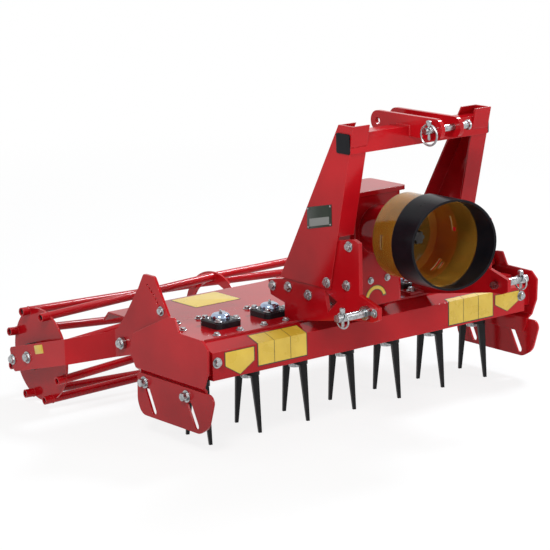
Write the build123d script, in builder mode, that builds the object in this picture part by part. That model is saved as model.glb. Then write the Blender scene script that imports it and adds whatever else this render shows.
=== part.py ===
from build123d import *
import os
from math import atan2, cos, degrees, hypot, radians, sin

# Power harrow for a compact tractor, in millimetres.
# +X is the machine's width, -Y the tractor side, +Y the roller side, +Z up, floor at z = 0.

# Rotors: a row of vertical shafts under the gear trough, each with two knife tines.
rotor_count = 7
rotor_pitch = 174.0
shaft_r = 22.0
shaft_gap = 0.1
shaft_seat = 46.0
hub_r = 34.0
hub_gap = 6.0
holder_reach = 42.0
holder_width = 40.0
holder_thick = 15.0
holder_drop = 31.0
nut_r = 19.0
nut_height = 15.0
tine_root_radius = 56.0
tine_tip_radius = 62.0
tine_root = (22.0, 12.0)
tine_tip = (9.0, 8.0)
tine_lead = 10.0
tine_angle = 75.0

# Gear trough, its bolted cover and the apron behind it.
trough_margin = 64.0
trough_end = (rotor_count - 1) / 2 * rotor_pitch + trough_margin
trough_front = 161.0
trough_rear = 150.0
trough_bottom = 212.0
trough_facet = 290.0
trough_top = 308.0
cover_front = 104.0
cover_rear = 118.0
cover_thick = 6.0
apron_thick = 4.0
apron_back = 372.0
apron_lip = 26.0
apron_end = 560.0

# Bearing housings with domed caps, half-way between rotors.
housing_steps = (-2.5, -1.5, 1.5, 2.5)
housing_side = 88.0
housing_thick = 20.0
cap_r = 27.0
cap_height = 15.0

# The stack of plates at each end, from the trough outwards: pivot bracket, roller arm, side plate.
bracket_thick = 8.0
arm_gap = 6.0
arm_thick = 8.0
plate_thick = 6.0
bracket_outer = trough_end + bracket_thick
arm_inner = bracket_outer + arm_gap
arm_outer = arm_inner + arm_thick
web_inner = arm_outer + arm_gap
side_outer = web_inner + plate_thick

# Side plates are joggled inwards below, where the adjustable shields are bolted on.
joggle_depth = 12.0
joggle_top = 198.0
joggle_bottom = 186.0
tab_bottom = 140.0
shield_bottom = 62.0
slot_width = 13.0

# Roller arms: pivot, sector with its arc of depth holes, joggled strap.
arm_set_out = 82.0
pivot_back = 229.0
pivot_z = 251.0
pivot_r = 12.0
pin_gap = 0.1
strap_half = 37.0
strap_overhang = 92.0
joggle_start = 272.0
joggle_end = 412.0
depth_hole_r = 4.5
depth_arc_r = 226.0
depth_arc = (124.0, 146.5)
depth_holes = 8

# Cage roller, between the set-out ends of the arms.
roller_back = 612.0
roller_r = 150.0
roller_tubes = 8
tube_r = 12.5
tube_inset = 2.0
tube_bore = 9.0
tube_bore_depth = 18.0
roller_twist = 22.5
tube_end_gap = 10.0
disc_gap = 37.0
disc_thick = 6.0
disc_rim = 4.0
ring_width = 34.0
axle_r = 17.0
bearing_r = 40.0
bearing_thick = 24.0
arm_end_inner = arm_inner + arm_set_out
arm_end_outer = arm_end_inner + arm_thick
roller_end = arm_end_inner - tube_end_gap
disc_outer = arm_end_inner - disc_gap
tube_circle = roller_r - tube_r - tube_inset

# Three-point hitch: lower pins, mast posts, crossbar and top-link ears.
hitch_front = 405.0
hitch_z = 389.0
hitch_pin_r = 11.0
hitch_pin_tip = 352.0
hitch_collar_r = 19.0
post_outer = 252.0
post_thick = 6.0
post_flange = 58.0
post_base_z = 430.0
post_top_z = 890.0
post_base = (259.0, 40.0)
post_top = (368.0, 306.0)
flange_start = 580.0
bracket_plate = 12.0
crossbar_side = 54.0
crossbar_wall = 5.0
crossbar_front = post_top[0] - 41
crossbar_z = post_top_z - 49
plug_thick = 4.0
ear_thick = 12.0
ear_gap = 56.0
ear_r = 29.0
ear_rise = 27.0
ear_rear = crossbar_front - 106
top_pin_front = crossbar_front + 128
top_pin_z = crossbar_z + ear_rise
top_pin_r = 9.5
top_pin_half = 78.0

# Gearbox, drive shaft and its guard.
box_half = 92.0
box_front = 172.0
box_rear = -30.0
box_foot_rear = 44.0
box_foot_z = 428.0
box_base_z = 332.0
box_top_z = 652.0
box_cover_thick = 12.0
box_cover_lip = 9.0
pto_z = 550.0
boss_r = 72.0
boss_front = 262.0
guard_flange_r = 92.0
guard_rear = 286.0
guard_front = 450.0
guard_r = 120.0
guard_wall = 4.0
collar_rear = 372.0
collar_wall = 6.0
collar_gap = 0.3
collar_short = 455.0
collar_long = 520.0
spline_r = 17.4
spline_root_r = 14.6
spline_width = 8.6
spline_front = 346.0

# The frame's origin lies under the middle of the machine, between the collar's mouth and the roller's back.
rotor_y = (collar_long - roller_back - roller_r) / 2

os.makedirs("parts", exist_ok=True)


def y_at(reach):
    # Place along Y of something that lies this far in front of the rotor line.
    return rotor_y - reach


def finish(piece, name):
    piece.part.label = name
    export_step(piece.part, f"parts/{name}.step")


def slab(sign, inner, outer):
    # Plane and thickness of an upright plate between two distances from the middle, on one side.
    return Plane.YZ.offset(inner if sign > 0 else -outer), outer - inner


def outline(points):
    # Corners given as (reach in front of the rotor line, height) become sketch points on a YZ plane.
    return [(y_at(reach), z) for reach, z in points]


sides = {"left": -1, "right": 1}
rotor_x = [(i - (rotor_count - 1) / 2) * rotor_pitch for i in range(rotor_count)]
holder_top = trough_bottom - holder_drop
holder_bottom = holder_top - holder_thick

# Gear trough: one closed section along the width, bored from below for the rotor shafts.
trough_section = [
    (trough_front, trough_bottom),
    (trough_front, trough_facet),
    (cover_front, trough_top),
    (-trough_rear, trough_top),
    (-trough_rear, trough_bottom),
]
with BuildPart() as gear_trough:
    with BuildSketch(Plane.YZ.offset(-trough_end)):
        Polygon(*outline(trough_section), align=None)
    extrude(amount=2 * trough_end)
    with BuildSketch(Plane.XY.offset(trough_bottom)):
        with Locations([(x, rotor_y) for x in rotor_x]):
            Circle(shaft_r + shaft_gap)
    extrude(amount=shaft_seat + shaft_gap, mode=Mode.SUBTRACT)
finish(gear_trough, "gear_trough")

with BuildPart() as trough_cover:
    with BuildSketch(Plane.YZ.offset(-trough_end)):
        cover_section = [
            (cover_front, trough_top),
            (cover_front, trough_top + cover_thick),
            (-cover_rear, trough_top + cover_thick),
            (-cover_rear, trough_top),
        ]
        Polygon(*outline(cover_section), align=None)
    extrude(amount=2 * trough_end)
finish(trough_cover, "trough_cover")

# Apron: a folded sheet from the trough's back face towards the roller, its rear lip turned down.
with BuildPart() as rear_apron:
    apron_top = trough_top
    apron_section = [
        (-trough_rear, apron_top - apron_lip - apron_thick),
        (-trough_rear, apron_top),
        (-apron_back, apron_top),
        (-apron_back - apron_lip, apron_top - apron_lip),
        (-apron_back - apron_lip + apron_thick, apron_top - apron_lip - apron_thick),
        (-apron_back + apron_thick / 2, apron_top - apron_thick),
        (-trough_rear - apron_thick, apron_top - apron_thick),
        (-trough_rear - apron_thick, apron_top - apron_lip - apron_thick),
    ]
    with BuildSketch(Plane.YZ.offset(-apron_end)):
        Polygon(*outline(apron_section), align=None)
    extrude(amount=2 * apron_end)
finish(rear_apron, "rear_apron")

# Square bearing housings and the domed caps on them.
cover_top = trough_top + cover_thick
housing_places = [(step * rotor_pitch, rotor_y) for step in housing_steps]
with BuildPart() as bearing_housings:
    with BuildSketch(Plane.XY.offset(cover_top)):
        with Locations(housing_places):
            RectangleRounded(housing_side, housing_side, housing_side / 6)
    extrude(amount=housing_thick)
    chamfer(bearing_housings.faces().group_by(Axis.Z)[-1].edges(), housing_thick / 5)
finish(bearing_housings, "bearing_housings")

with BuildPart() as bearing_caps:
    with BuildSketch(Plane.XY.offset(cover_top + housing_thick)):
        with Locations(housing_places):
            Circle(cap_r)
    extrude(amount=cap_height)
    fillet(bearing_caps.faces().group_by(Axis.Z)[-1].edges(), cap_height * 0.7)
finish(bearing_caps, "bearing_caps")

# Side plates: a joggled plate whose lower tab carries the adjustable shield, on two spacers.
tab_outer = side_outer - joggle_depth
tab_inner = tab_outer - plate_thick
plate_path = [
    (web_inner, crossbar_z),
    (web_inner, joggle_top),
    (tab_inner, joggle_bottom),
    (tab_inner, shield_bottom),
    (tab_outer, shield_bottom),
    (tab_outer, joggle_bottom - 2),
    (side_outer, joggle_top - 2),
    (side_outer, crossbar_z),
]
plate_outline = [
    (140.0, tab_bottom),
    (157.0, joggle_bottom),
    (182.0, 246.0),
    (185.0, 309.0),
    (160.0, 331.0),
    (56.0, 333.0),
    (36.0, 372.0),
    (8.0, 370.0),
    (-161.0, 294.0),
    (-176.0, 262.0),
    (-178.0, 232.0),
    (-150.0, joggle_bottom),
    (-140.0, tab_bottom),
]
spacers = [
    # front reach, rear reach, bottom, top
    (152.0, 108.0, 226.0, 286.0),
    (92.0, 18.0, 204.0, 220.0),
]
for side, sign in sides.items():
    with BuildPart() as side_plate:
        with BuildSketch(Plane.XZ):
            Polygon(*[(sign * x, z) for x, z in plate_path], align=None)
        extrude(amount=1000, both=True)
        plane, thick = slab(sign, trough_end, side_outer)
        with BuildSketch(plane) as plate_shape:
            Polygon(*outline(plate_outline), align=None)
            fillet(plate_shape.vertices(), 7)
        extrude(amount=thick, mode=Mode.INTERSECT)
        for front, rear, low, high in spacers:
            plane, thick = slab(sign, trough_end, web_inner)
            with BuildSketch(plane):
                Polygon(*outline([(front, low), (front, high), (rear, high), (rear, low)]), align=None)
            extrude(amount=thick)
    finish(side_plate, f"side_plate_{side}")

# Shields: flat plates with rounded corners and two slanted slots each.
shield_top = joggle_bottom - 4
shield_outline = [
    (131.0, shield_bottom),
    (172.0, 86.0),
    (198.0, 164.0),
    (186.0, shield_top),
    (-157.0, shield_top),
    (-161.0, 99.0),
    (-143.0, shield_bottom),
]
slot_ends = [
    # top reach, top height, bottom reach, bottom height
    (86.0, 140.0, 117.0, 82.0),
    (-110.0, 140.0, -81.0, 82.0),
]
for side, sign in sides.items():
    plane, thick = slab(sign, tab_outer, tab_outer + plate_thick)
    with BuildPart() as side_shield:
        with BuildSketch(plane) as shield_shape:
            Polygon(*outline(shield_outline), align=None)
            fillet(shield_shape.vertices(), 11)
        extrude(amount=thick)
        for top, top_z, low, low_z in slot_ends:
            length = hypot(top - low, top_z - low_z)
            lean = degrees(atan2(top_z - low_z, low - top))
            with BuildSketch(plane):
                with Locations((y_at((top + low) / 2), (top_z + low_z) / 2)):
                    SlotCenterToCenter(length, slot_width, rotation=lean)
            extrude(amount=thick, mode=Mode.SUBTRACT)
    finish(side_shield, f"side_shield_{side}")

# Pivot brackets on the trough's ends, and the pins that the roller arms swing on.
bracket_reach = pivot_r * 3
bracket_outline = [
    (-60.0, trough_bottom + 4),
    (-pivot_back, pivot_z - bracket_reach),
    (-pivot_back - bracket_reach, pivot_z),
    (-pivot_back, pivot_z + bracket_reach),
    (-60.0, trough_top - 6),
]
for side, sign in sides.items():
    plane, thick = slab(sign, trough_end, bracket_outer)
    with BuildPart() as pivot_bracket:
        with BuildSketch(plane):
            Polygon(*outline(bracket_outline), align=None)
            with Locations((y_at(-pivot_back), pivot_z)):
                Circle(bracket_reach)
                Circle(pivot_r + pin_gap, mode=Mode.SUBTRACT)
        extrude(amount=thick)
    finish(pivot_bracket, f"pivot_bracket_{side}")

with BuildPart() as pivot_pins:
    for sign in sides.values():
        plane, thick = slab(sign, trough_end, arm_outer + 2)
        with BuildSketch(plane):
            with Locations((y_at(-pivot_back), pivot_z)):
                Circle(pivot_r)
        extrude(amount=thick)
        plane, thick = slab(sign, arm_outer + 2, arm_outer + 10)
        with BuildSketch(plane):
            with Locations((y_at(-pivot_back), pivot_z)):
                Circle(pivot_r * 1.4)
        extrude(amount=thick)
finish(pivot_pins, "pivot_pins")

# Roller arms: a joggled plate in plan, cut to a sector and a strap in side view.
roller_z = roller_r
strap_length = hypot(roller_back - pivot_back, roller_z - pivot_z)
along = ((roller_back - pivot_back) / strap_length, (roller_z - pivot_z) / strap_length)
across = (-along[1], along[0])


def on_strap(distance, offset):
    # Point on the strap, from the pivot along it and across it, as (reach, height).
    back = pivot_back + along[0] * distance + across[0] * offset
    return -back, pivot_z + along[1] * distance + across[1] * offset


sector_outline = [
    (16.0, 330.0),
    (-70.0, 468.0),
    (-120.0, 468.0),
    (-147.0, 424.0),
    (-218.0, 331.0),
    (-256.0, 289.0),
    on_strap(60.0, strap_half),
    on_strap(strap_length + strap_overhang, strap_half),
    on_strap(strap_length + strap_overhang, -strap_half),
    on_strap(-10.0, -strap_half),
    (-168.0, 232.0),
]
arm_path = [
    (arm_inner, -200.0),
    (arm_inner, joggle_start),
    (arm_end_inner, joggle_end),
    (arm_end_inner, 800.0),
    (arm_end_outer, 800.0),
    (arm_end_outer, joggle_end - 3),
    (arm_outer, joggle_start - 3),
    (arm_outer, -200.0),
]
depth_step = (depth_arc[1] - depth_arc[0]) / (depth_holes - 1)
depth_places = []
for k in range(depth_holes):
    angle = radians(depth_arc[0] + k * depth_step)
    depth_places.append((y_at(-pivot_back) + depth_arc_r * cos(angle), pivot_z + depth_arc_r * sin(angle)))
for side, sign in sides.items():
    with BuildPart() as roller_arm:
        with BuildSketch(Plane.XY):
            Polygon(*[(sign * x, y_at(-back)) for x, back in arm_path], align=None)
        extrude(amount=600)
        plane, thick = slab(sign, arm_inner, arm_end_outer)
        with BuildSketch(plane) as arm_shape:
            Polygon(*outline(sector_outline), align=None)
            fillet(arm_shape.vertices(), 11)
            with Locations((y_at(-pivot_back), pivot_z)):
                Circle(pivot_r + pin_gap, mode=Mode.SUBTRACT)
            with Locations((y_at(-roller_back), roller_z)):
                Circle(axle_r + shaft_gap, mode=Mode.SUBTRACT)
            with Locations(depth_places):
                Circle(depth_hole_r, mode=Mode.SUBTRACT)
        extrude(amount=thick, mode=Mode.INTERSECT)
    finish(roller_arm, f"roller_arm_{side}")

with BuildPart() as roller_bearings:
    for sign in sides.values():
        plane, thick = slab(sign, arm_end_inner - bearing_thick, arm_end_inner)
        with BuildSketch(plane):
            with Locations((y_at(-roller_back), roller_z)):
                Circle(bearing_r)
                Circle(axle_r + shaft_gap, mode=Mode.SUBTRACT)
        extrude(amount=thick)
finish(roller_bearings, "roller_bearings")

# Cage roller: slightly twisted bars run through two end discs and a middle ring, with stub axles.
with BuildPart() as roller_cage:
    for sign in sides.values():
        plane, thick = slab(sign, disc_outer - disc_thick, disc_outer)
        with BuildSketch(plane):
            with Locations((y_at(-roller_back), roller_z)):
                Circle(tube_circle + disc_rim)
        extrude(amount=thick)
        plane, thick = slab(sign, disc_outer, arm_end_outer)
        with BuildSketch(plane):
            with Locations((y_at(-roller_back), roller_z)):
                Circle(axle_r)
        extrude(amount=thick)
    with BuildSketch(Plane.YZ.offset(-disc_thick / 2)):
        with Locations((y_at(-roller_back), roller_z)):
            Circle(roller_r)
            Circle(roller_r - ring_width, mode=Mode.SUBTRACT)
    extrude(amount=disc_thick)
    for k in range(roller_tubes):
        middle = 360.0 / roller_tubes * (k + 0.5) - roller_twist
        for sign in sides.values():
            turned = radians(middle - sign * roller_twist)
            inner = Vector(0, y_at(-roller_back) + tube_circle * cos(radians(middle)),
                           roller_z + tube_circle * sin(radians(middle)))
            outer = Vector(sign * roller_end, y_at(-roller_back) + tube_circle * cos(turned),
                           roller_z + tube_circle * sin(turned))
            run = outer - inner
            outward = Vector(0, cos(radians(middle)), sin(radians(middle)))
            with BuildSketch(Plane(origin=inner, x_dir=outward, z_dir=run)):
                Circle(tube_r)
            extrude(amount=run.length)
            with BuildSketch(Plane(origin=outer, x_dir=outward, z_dir=-run)):
                Circle(tube_bore)
            extrude(amount=tube_bore_depth, mode=Mode.SUBTRACT)
finish(roller_cage, "roller_cage")

# Rotors: shaft, hub, holder bar and lock nut in one, and a pair of tapered knife tines on each.
for number, x in enumerate(rotor_x, start=1):
    with BuildPart() as rotor:
        with BuildSketch(Plane.XY.offset(holder_bottom)):
            with Locations((x, rotor_y)):
                SlotCenterToCenter(2 * holder_reach, holder_width, rotation=tine_angle)
        extrude(amount=holder_thick)
        with BuildSketch(Plane.XY.offset(holder_top)):
            with Locations((x, rotor_y)):
                Circle(hub_r)
        extrude(amount=holder_drop - hub_gap)
        with BuildSketch(Plane.XY.offset(trough_bottom - hub_gap)):
            with Locations((x, rotor_y)):
                Circle(shaft_r)
        extrude(amount=hub_gap + shaft_seat)
        with BuildSketch(Plane.XY.offset(holder_bottom - nut_height)):
            with Locations((x, rotor_y)):
                RegularPolygon(nut_r, 6)
        extrude(amount=nut_height)
    finish(rotor, f"rotor_{number}")

    with BuildPart() as tines:
        for turn in (0, 180):
            angle = radians(tine_angle + turn)
            root = (x + tine_root_radius * cos(angle), rotor_y + tine_root_radius * sin(angle))
            tip = (x + tine_tip_radius * cos(angle) - tine_lead * sin(angle),
                   rotor_y + tine_tip_radius * sin(angle) + tine_lead * cos(angle))
            with BuildSketch(Plane.XY.offset(holder_bottom)):
                with Locations(root):
                    Rectangle(tine_root[1], tine_root[0], rotation=tine_angle)
            with BuildSketch(Plane.XY):
                with Locations(tip):
                    Rectangle(tine_tip[1], tine_tip[0], rotation=tine_angle)
            loft()
    finish(tines, f"tines_{number}")

# Mast posts: channels with the web outwards, leaning forward and narrowing to the top.
def lean(base, top, z):
    # Reach of a post's edge at a height.
    return base + (top - base) * (z - post_base_z) / (post_top_z - post_base_z)


channel_low = post_base_z - 20
channel_high = post_top_z + 20
for side, sign in sides.items():
    with BuildPart() as mast_post:
        plane, thick = slab(sign, post_outer - post_flange, post_outer)
        with BuildSketch(plane):
            corners = [(post_base[0], post_base_z), (post_top[0], post_top_z),
                       (post_top[1], post_top_z), (post_base[1], post_base_z)]
            Polygon(*outline(corners), align=None)
        extrude(amount=thick)
        plane, thick = slab(sign, post_outer - post_flange, post_outer - post_thick)
        with BuildSketch(plane):
            inside = []
            for z in (channel_low, channel_high):
                inside.append((lean(post_base[0], post_top[0], z) - post_thick, z))
            for z in (channel_high, channel_low):
                inside.append((lean(post_base[1], post_top[1], z) + post_thick, z))
            Polygon(*outline(inside), align=None)
        extrude(amount=thick, mode=Mode.SUBTRACT)
        with BuildSketch(plane):
            notch = [(post_top[0], channel_low), (post_top[0], flange_start),
                     (0.0, flange_start), (0.0, channel_low)]
            Polygon(*outline(notch), align=None)
        extrude(amount=thick, mode=Mode.SUBTRACT)
        plane, thick = slab(sign, post_outer - post_flange, post_outer)
        with BuildSketch(plane):
            with Locations((y_at(crossbar_front), crossbar_z)):
                Rectangle(crossbar_side, crossbar_side)
        extrude(amount=thick, mode=Mode.SUBTRACT)
    finish(mast_post, f"mast_post_{side}")

# Crossbar through both posts, with a plug in each end.
with BuildPart() as crossbar:
    with BuildSketch(Plane.YZ.offset(-post_outer)):
        with Locations((y_at(crossbar_front), crossbar_z)):
            Rectangle(crossbar_side, crossbar_side)
            Rectangle(crossbar_side - 2 * crossbar_wall, crossbar_side - 2 * crossbar_wall, mode=Mode.SUBTRACT)
    extrude(amount=2 * post_outer)
finish(crossbar, "crossbar")

with BuildPart() as crossbar_plugs:
    for sign in sides.values():
        plane, thick = slab(sign, post_outer, post_outer + plug_thick)
        with BuildSketch(plane):
            with Locations((y_at(crossbar_front), crossbar_z)):
                RectangleRounded(crossbar_side, crossbar_side, 5)
        extrude(amount=thick)
finish(crossbar_plugs, "crossbar_plugs")

# Top-link ears, notched over the crossbar, and the pin between them.
with BuildPart() as top_link_ears:
    for sign in sides.values():
        plane, thick = slab(sign, ear_gap / 2, ear_gap / 2 + ear_thick)
        with BuildSketch(plane):
            middle_reach = (top_pin_front + ear_rear) / 2
            with Locations((y_at(middle_reach), top_pin_z)):
                SlotCenterToCenter(top_pin_front - ear_rear, 2 * ear_r)
            with Locations((y_at(crossbar_front), crossbar_z)):
                Rectangle(crossbar_side, crossbar_side, mode=Mode.SUBTRACT)
            with Locations((y_at(top_pin_front), top_pin_z), (y_at(ear_rear), top_pin_z)):
                Circle(top_pin_r + shaft_gap, mode=Mode.SUBTRACT)
        extrude(amount=thick)
finish(top_link_ears, "top_link_ears")

with BuildPart() as top_link_pin:
    with BuildSketch(Plane.YZ.offset(-top_pin_half)):
        with Locations((y_at(top_pin_front), top_pin_z)):
            Circle(top_pin_r)
    extrude(amount=2 * top_pin_half)
finish(top_link_pin, "top_link_pin")

# Hitch brackets: plates inside the posts' webs that stand on the cover and reach out to the lower pins.
bracket_out = post_outer - post_thick
bracket_in = bracket_out - bracket_plate
foot_rear = 50.0
foot_front = 100.0
hitch_outline = [
    (foot_rear, cover_top),
    (foot_rear, 356.0),
    (-12.0, 370.0),
    (-22.0, 412.0),
    (40.0, 424.0),
    (88.0, 440.0),
    (150.0, 545.0),
    (352.0, 582.0),
    (376.0, 574.0),
    (376.0, 432.0),
    (hitch_front + 48, hitch_z + 20),
    (hitch_front + 48, hitch_z - 14),
    (hitch_front + 24, hitch_z - 24),
    (hitch_front - 20, hitch_z - 26),
    (190.0, cover_top + 14),
    (foot_front, cover_top),
]
hitch_window = [(228.0, 421.0), (282.0, 398.0), (240.0, 360.0)]
foot_width = 62.0
foot_thick = 8.0
for side, sign in sides.items():
    with BuildPart() as hitch_bracket:
        plane, thick = slab(sign, bracket_in, bracket_out)
        with BuildSketch(plane):
            Polygon(*outline(hitch_outline), align=None)
            Polygon(*outline(hitch_window), align=None, mode=Mode.SUBTRACT)
            with Locations((y_at(hitch_front), hitch_z)):
                Circle(hitch_pin_r, mode=Mode.SUBTRACT)
        extrude(amount=thick)
        plane, thick = slab(sign, bracket_out - foot_width, bracket_in)
        with BuildSketch(plane):
            foot = [(foot_front, cover_top), (foot_front, cover_top + foot_thick),
                    (foot_rear, cover_top + foot_thick), (foot_rear, cover_top)]
            Polygon(*outline(foot), align=None)
        extrude(amount=thick)
    finish(hitch_bracket, f"hitch_bracket_{side}")

with BuildPart() as hitch_pins:
    for sign in sides.values():
        plane, thick = slab(sign, bracket_in - 14, hitch_pin_tip)
        with BuildSketch(plane):
            with Locations((y_at(hitch_front), hitch_z)):
                Circle(hitch_pin_r)
        extrude(amount=thick)
        plane, thick = slab(sign, bracket_out, bracket_out + 12)
        with BuildSketch(plane):
            with Locations((y_at(hitch_front), hitch_z)):
                Circle(hitch_collar_r)
        extrude(amount=thick)
finish(hitch_pins, "hitch_pins")

# Gearbox: a cast case on a base flange, with a round boss towards the tractor.
pto_axis = Plane(origin=(0, y_at(0), pto_z), x_dir=(1, 0, 0), z_dir=(0, -1, 0))
with BuildPart() as gearbox:
    with BuildSketch(Plane.XY.offset(cover_top)):
        with Locations((0, rotor_y)):
            RectangleRounded(2 * box_half + 50, 2 * cover_front - 10, 24)
    extrude(amount=box_base_z - cover_top)
    with BuildSketch(Plane.XY.offset(box_base_z)):
        with Locations((0, (y_at(box_front) + y_at(-box_foot_rear)) / 2)):
            RectangleRounded(2 * box_half, box_front + box_foot_rear, 18)
    extrude(amount=box_foot_z - box_base_z)
    with BuildSketch(Plane.XY.offset(box_foot_z)):
        with Locations((0, (y_at(box_front) + y_at(-box_rear)) / 2)):
            RectangleRounded(2 * box_half, box_front + box_rear, 18)
    extrude(amount=box_top_z - box_foot_z)
    with BuildSketch(pto_axis.offset(box_front)):
        Circle(boss_r)
    extrude(amount=boss_front - box_front)
    with BuildSketch(pto_axis.offset(boss_front)):
        Circle(guard_flange_r)
    extrude(amount=guard_rear - boss_front)
    with BuildSketch(pto_axis.offset(box_front - 20)):
        Circle(shaft_r + shaft_gap)
    extrude(amount=guard_rear, mode=Mode.SUBTRACT)
finish(gearbox, "gearbox")

with BuildPart() as gearbox_cover:
    with BuildSketch(Plane.XY.offset(box_top_z)):
        with Locations((0, (y_at(box_front) + y_at(-box_rear)) / 2)):
            RectangleRounded(2 * (box_half + box_cover_lip), box_front + box_rear + 2 * box_cover_lip, 14)
    extrude(amount=box_cover_thick)
finish(gearbox_cover, "gearbox_cover")

# Guard: a clear cup with slots, bolted to the boss, and a collar round it with a slanted mouth.
with BuildPart() as pto_guard:
    with BuildSketch(pto_axis.offset(guard_rear)):
        Circle(guard_r)
    extrude(amount=guard_front - guard_rear)
    with BuildSketch(pto_axis.offset(guard_rear + guard_wall)):
        Circle(guard_r - guard_wall)
    extrude(amount=guard_front, mode=Mode.SUBTRACT)
    with BuildSketch(pto_axis.offset(guard_rear)):
        Circle(shaft_r * 2)
    extrude(amount=guard_wall, mode=Mode.SUBTRACT)
finish(pto_guard, "pto_guard")

collar_inner = guard_r + collar_gap
collar_outer = collar_inner + collar_wall
with BuildPart() as pto_collar:
    with BuildSketch(pto_axis.offset(collar_rear)):
        Circle(collar_outer)
        Circle(collar_inner, mode=Mode.SUBTRACT)
    extrude(amount=collar_long - collar_rear)
    with BuildSketch(Plane.XY.offset(pto_z - guard_r * 2)):
        mouth = [(-collar_outer, y_at(collar_short)), (collar_outer, y_at(collar_long)),
                 (collar_outer, y_at(collar_long + 50)), (-collar_outer, y_at(collar_long + 50))]
        Polygon(*mouth, align=None)
    extrude(amount=guard_r * 4, mode=Mode.SUBTRACT)
finish(pto_collar, "pto_collar")

# Splined drive shaft in the gearbox's boss.
with BuildPart() as pto_shaft:
    with BuildSketch(pto_axis.offset(box_front)):
        Circle(shaft_r)
    extrude(amount=guard_rear - box_front)
    with BuildSketch(pto_axis.offset(guard_rear)):
        Circle(spline_root_r)
        with PolarLocations(0, 6):
            with Locations((spline_root_r / 2, 0)):
                Rectangle(spline_root_r, spline_width)
        with PolarLocations((spline_root_r + spline_r) / 2, 6):
            Rectangle(spline_r - spline_root_r + 1, spline_width)
    extrude(amount=spline_front - guard_rear)
finish(pto_shaft, "pto_shaft")
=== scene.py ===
import math

import bmesh
import bpy
import numpy as np
from mathutils import Matrix, Vector
from mathutils.geometry import tessellate_polygon


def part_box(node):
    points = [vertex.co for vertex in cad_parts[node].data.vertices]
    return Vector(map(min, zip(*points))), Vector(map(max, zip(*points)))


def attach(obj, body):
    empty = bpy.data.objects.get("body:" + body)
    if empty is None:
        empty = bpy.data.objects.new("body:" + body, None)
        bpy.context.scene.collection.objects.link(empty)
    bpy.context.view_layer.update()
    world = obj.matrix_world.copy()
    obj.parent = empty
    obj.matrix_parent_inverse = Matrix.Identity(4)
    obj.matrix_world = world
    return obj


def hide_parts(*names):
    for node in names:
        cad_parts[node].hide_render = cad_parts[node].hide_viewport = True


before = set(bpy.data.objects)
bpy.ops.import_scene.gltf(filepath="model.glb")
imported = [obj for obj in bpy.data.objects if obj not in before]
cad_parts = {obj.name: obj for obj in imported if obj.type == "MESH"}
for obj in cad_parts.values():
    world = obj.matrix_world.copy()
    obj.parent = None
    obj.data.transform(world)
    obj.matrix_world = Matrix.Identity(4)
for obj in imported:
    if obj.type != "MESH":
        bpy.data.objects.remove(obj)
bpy.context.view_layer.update()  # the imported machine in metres: width along X, tractor side -Y, up +Z
print("frame loaded,", len(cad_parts), "nodes")

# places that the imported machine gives; y values further down are measured from the rotor line
rotorLow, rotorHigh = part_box("rotor_4")
rotorY = (rotorLow.y + rotorHigh.y) / 2
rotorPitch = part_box("rotor_5")[0].x - rotorLow.x
coverLow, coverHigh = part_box("trough_cover")
troughLow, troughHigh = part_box("gear_trough")
cageLow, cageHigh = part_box("roller_cage")
rollerY = (cageLow.y + cageHigh.y) / 2
rollerZ = (cageLow.z + cageHigh.z) / 2
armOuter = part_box("roller_arm_right")[1].x
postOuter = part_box("mast_post_right")[1].x
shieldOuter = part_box("side_shield_right")[1].x
bothSides = np.array([-1.0, 1.0])
armSlope = (0.967, -0.255)  # run of the roller arm's end, along y and z

pieceSet = {
    "sharp": 35,  # degrees past which an edge stays sharp
    "plateShoulder": 0.6, "plateFace": 0.985,  # a thin plate's shoulder height and face size, as shares
    "beadPitch": 1.3, "beadEnd": 0.4,  # a weld's ripple length and its end, as shares of the bead
}


def gridFaces(rows, columns, closeRows=False):
    # quads between neighbours, with the last column joined to the first
    r = np.arange(rows if closeRows else rows - 1)[:, None]
    c = np.arange(columns)[None, :]
    above, beside = (r + 1) % rows, (c + 1) % columns
    quads = [r * columns + c, r * columns + beside, above * columns + beside, above * columns + c]
    return np.stack(quads, -1).reshape(-1, 4)


def tubeFaces(tubes, rows, sides):  # the grid of each tube, with one face closing each of its ends
    start = np.arange(tubes)[:, None, None] * rows * sides
    quads = (gridFaces(rows, sides)[None] + start).reshape(-1, 4)
    feet = np.arange(sides)[None, :] + start[:, 0]
    return quads.tolist() + feet.tolist() + (feet + (rows - 1) * sides).tolist()


def squareTo(axes):  # for each axis a pair of directions across it, all as unit rows
    axes = axes / np.linalg.norm(axes, axis=1, keepdims=True)
    helper = np.where(np.abs(axes[:, 2:3]) < 0.9, [[0.0, 0.0, 1.0]], [[0.0, 1.0, 0.0]])
    across = np.cross(helper, axes)
    across /= np.linalg.norm(across, axis=1, keepdims=True)
    return axes, across, np.cross(axes, across)


def makePiece(name, verts, faces, finish, body, smooth=True):
    # points and faces as one mesh whose faces look outwards, on the body that carries it
    mesh = bpy.data.meshes.new(name)
    mesh.from_pydata(verts.reshape(-1, 3).tolist(), [], faces)
    bm = bmesh.new()
    bm.from_mesh(mesh)
    bmesh.ops.recalc_face_normals(bm, faces=bm.faces)
    bm.to_mesh(mesh)
    bm.free()
    mesh.materials.append(materials[finish])
    mesh.polygons.foreach_set("use_smooth", np.full(len(mesh.polygons), smooth))
    mesh.set_sharp_from_angle(angle=math.radians(pieceSet["sharp"]))
    piece = bpy.data.objects.new(name, mesh)
    bpy.context.scene.collection.objects.link(piece)
    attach(piece, body)
    return piece


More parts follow.
